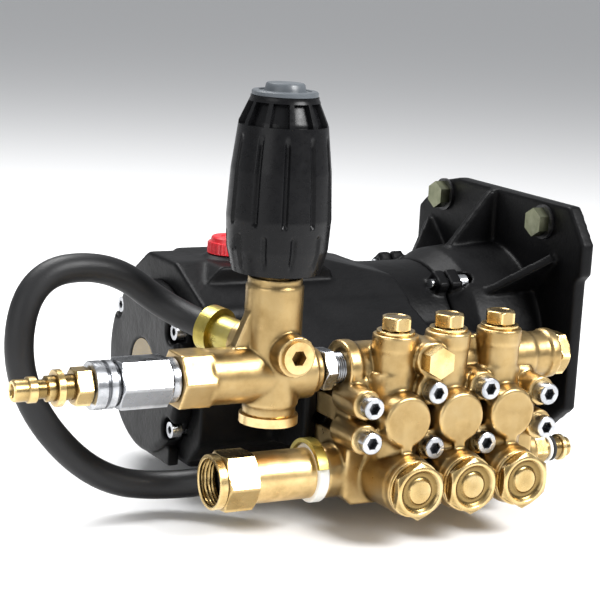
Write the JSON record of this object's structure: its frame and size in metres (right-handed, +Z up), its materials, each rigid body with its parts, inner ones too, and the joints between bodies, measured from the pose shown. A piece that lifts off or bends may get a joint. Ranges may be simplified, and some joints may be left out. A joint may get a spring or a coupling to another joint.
{
  "type": "pressure washer pump",
  "caption": "Plunger pump for a pressure washer, with a geared engine flange, brass manifold, adjustable unloader valve, bypass hose and quick-connect outlet.",
  "frame": {"origin": "on the engine shaft's axis, in the mating face of the engine flange", "axes": "+X toward the engine, -Y toward the front of the manifold, +Z up"},
  "size_m": [0.404, 0.273, 0.255],
  "materials": {
    "painted_black": "satin black enamel",
    "cover_black": "satin black enamel",
    "brass": "forged and machined",
    "zinc": "bright zinc plate",
    "yellow_zinc": "yellow zinc plate",
    "steel": "machined",
    "black_washer": "black oxide",
    "aluminium": "cast",
    "ceramic": "ground",
    "seal": "nitrile",
    "hose": "smooth cover",
    "grip": "moulded nylon",
    "grey_cap": "moulded",
    "red_cap": "moulded",
    "amber": "clear amber moulding",
    "screen": "moulded"
  },
  "bodies": {
    "pump": {"ball_bearings": "steel", "bypass_barb": "yellow_zinc", "bypass_hose": "hose", "case_screws": "zinc", "connecting_nipple": "zinc", "crankcase": "painted_black", "delivery_plugs": "brass", "engine_bolt_washers": "black_washer", "engine_bolts": "zinc", "front_port_plug": "brass", "gallery_end_plug": "brass", "gear_housing": "painted_black", "hose_collars": "yellow_zinc", "inlet_body": "brass", "inlet_rings": "yellow_zinc", "inlet_screen": "screen", "manifold": "brass", "manifold_screws": "zinc", "packing_retainers": "brass", "plunger_seals": "seal", "side_cover": "cover_black", "sight_glass": "amber", "suction_plugs": "brass", "thermal_relief_valve": "brass", "unloader_body": "brass", "unloader_bonnet": "brass", "unloader_bottom_plug": "brass", "unloader_front_plug": "brass", "unloader_spring": "steel", "valve_seats": "steel", "valve_springs": "steel"},
    "pinion": {"drive_pinion": "steel"},
    "crank": {"crankshaft": "steel", "ring_gear": "steel"},
    "rod_1": {"connecting_rod_1": "aluminium", "wrist_pin_1": "steel"},
    "plunger_set_1": {"crosshead_1": "aluminium", "plunger_1": "ceramic"},
    "suction_poppet_1": {"suction_valve_1": "steel"},
    "delivery_poppet_1": {"delivery_valve_1": "steel"},
    "rod_2": {"connecting_rod_2": "aluminium", "wrist_pin_2": "steel"},
    "plunger_set_2": {"crosshead_2": "aluminium", "plunger_2": "ceramic"},
    "suction_poppet_2": {"suction_valve_2": "steel"},
    "delivery_poppet_2": {"delivery_valve_2": "steel"},
    "rod_3": {"connecting_rod_3": "aluminium", "wrist_pin_3": "steel"},
    "plunger_set_3": {"crosshead_3": "aluminium", "plunger_3": "ceramic"},
    "suction_poppet_3": {"suction_valve_3": "steel"},
    "delivery_poppet_3": {"delivery_valve_3": "steel"},
    "unloader_knob": {"knob": "grip", "knob_cap": "grey_cap"},
    "unloader_adjuster": {"spring_seat": "steel"},
    "unloader_stem": {"unloader_piston": "zinc"},
    "filler_plug": {"oil_cap": "red_cap"},
    "inlet_nut": {"inlet_swivel_nut": "brass"},
    "outlet_coupling": {"outlet_swivel": "zinc", "quick_connect_plug": "brass"}
  },
  "joints": [
    {"name": "pinion_spin", "type": "hinge", "parent": "pump", "child": "pinion", "pos_m": [-0.02, 0, 0], "axis": [1, 0, 0], "continuous": true},
    {"name": "crank_spin", "type": "hinge", "parent": "pump", "child": "crank", "pos_m": [-0.13, 0, -0.034], "axis": [1, 0, 0], "continuous": true},
    {"name": "rod_1_pivot", "type": "hinge", "parent": "crank", "child": "rod_1", "pos_m": [-0.1668, -0.004, -0.034], "axis": [1, 0, 0], "continuous": true},
    {"name": "plunger_1_slide", "type": "slide", "parent": "pump", "child": "plunger_set_1", "axis": [0, -1, 0], "range_m": [-0.008, 0]},
    {"name": "suction_valve_1_lift", "type": "slide", "parent": "pump", "child": "suction_poppet_1", "axis": [0, -1, 0], "range_m": [0, 0.002]},
    {"name": "delivery_valve_1_lift", "type": "slide", "parent": "pump", "child": "delivery_poppet_1", "axis": [0, 0, 1], "range_m": [0, 0.002]},
    {"name": "rod_2_pivot", "type": "hinge", "parent": "crank", "child": "rod_2", "pos_m": [-0.1315, 0.002, -0.03054], "axis": [1, 0, 0], "continuous": true},
    {"name": "plunger_2_slide", "type": "slide", "parent": "pump", "child": "plunger_set_2", "axis": [0, -1, 0], "range_m": [-0.00191, 0.00609]},
    {"name": "suction_valve_2_lift", "type": "slide", "parent": "pump", "child": "suction_poppet_2", "axis": [0, -1, 0], "range_m": [0, 0.002]},
    {"name": "delivery_valve_2_lift", "type": "slide", "parent": "pump", "child": "delivery_poppet_2", "axis": [0, 0, 1], "range_m": [0, 0.002]},
    {"name": "rod_3_pivot", "type": "hinge", "parent": "crank", "child": "rod_3", "pos_m": [-0.0962, 0.002, -0.03746], "axis": [1, 0, 0], "continuous": true},
    {"name": "plunger_3_slide", "type": "slide", "parent": "pump", "child": "plunger_set_3", "axis": [0, -1, 0], "range_m": [-0.00191, 0.00609]},
    {"name": "suction_valve_3_lift", "type": "slide", "parent": "pump", "child": "suction_poppet_3", "axis": [0, -1, 0], "range_m": [0, 0.002]},
    {"name": "delivery_valve_3_lift", "type": "slide", "parent": "pump", "child": "delivery_poppet_3", "axis": [0, 0, 1], "range_m": [0, 0.002]},
    {"name": "knob_turn", "type": "hinge", "parent": "pump", "child": "unloader_knob", "pos_m": [-0.237, -0.127, 0.1], "axis": [0, 0, 1], "range_deg": [-1800, 0]},
    {"name": "spring_seat_slide", "type": "slide", "parent": "pump", "child": "unloader_adjuster", "axis": [0, 0, -1], "range_m": [0, 0.0075], "deforming": ["unloader_spring"]},
    {"name": "unloader_piston_lift", "type": "slide", "parent": "pump", "child": "unloader_stem", "axis": [0, 0, 1], "range_m": [0, 0.003], "deforming": ["unloader_spring"]},
    {"name": "oil_cap_lift", "type": "slide", "parent": "pump", "child": "filler_plug", "axis": [0, 0, 1], "range_m": [0, 0.045]},
    {"name": "inlet_nut_spin", "type": "hinge", "parent": "pump", "child": "inlet_nut", "pos_m": [-0.255, -0.127, -0.0695], "axis": [1, 0, 0], "continuous": true},
    {"name": "outlet_swivel_spin", "type": "hinge", "parent": "pump", "child": "outlet_coupling", "pos_m": [-0.3, -0.127, -0.009], "axis": [1, 0, 0], "continuous": true}
  ],
  "couplings": [
    {"joint": "crank_spin", "follows": "pinion_spin", "ratio": 0.39286},
    {"joint": "rod_1_pivot", "follows": "pinion_spin", "ratio": -0.39286},
    {"joint": "rod_2_pivot", "follows": "pinion_spin", "ratio": -0.39286},
    {"joint": "rod_3_pivot", "follows": "pinion_spin", "ratio": -0.39286},
    {"joint": "spring_seat_slide", "follows": "knob_turn", "m_per_rad": -0.00023873}
  ]
}
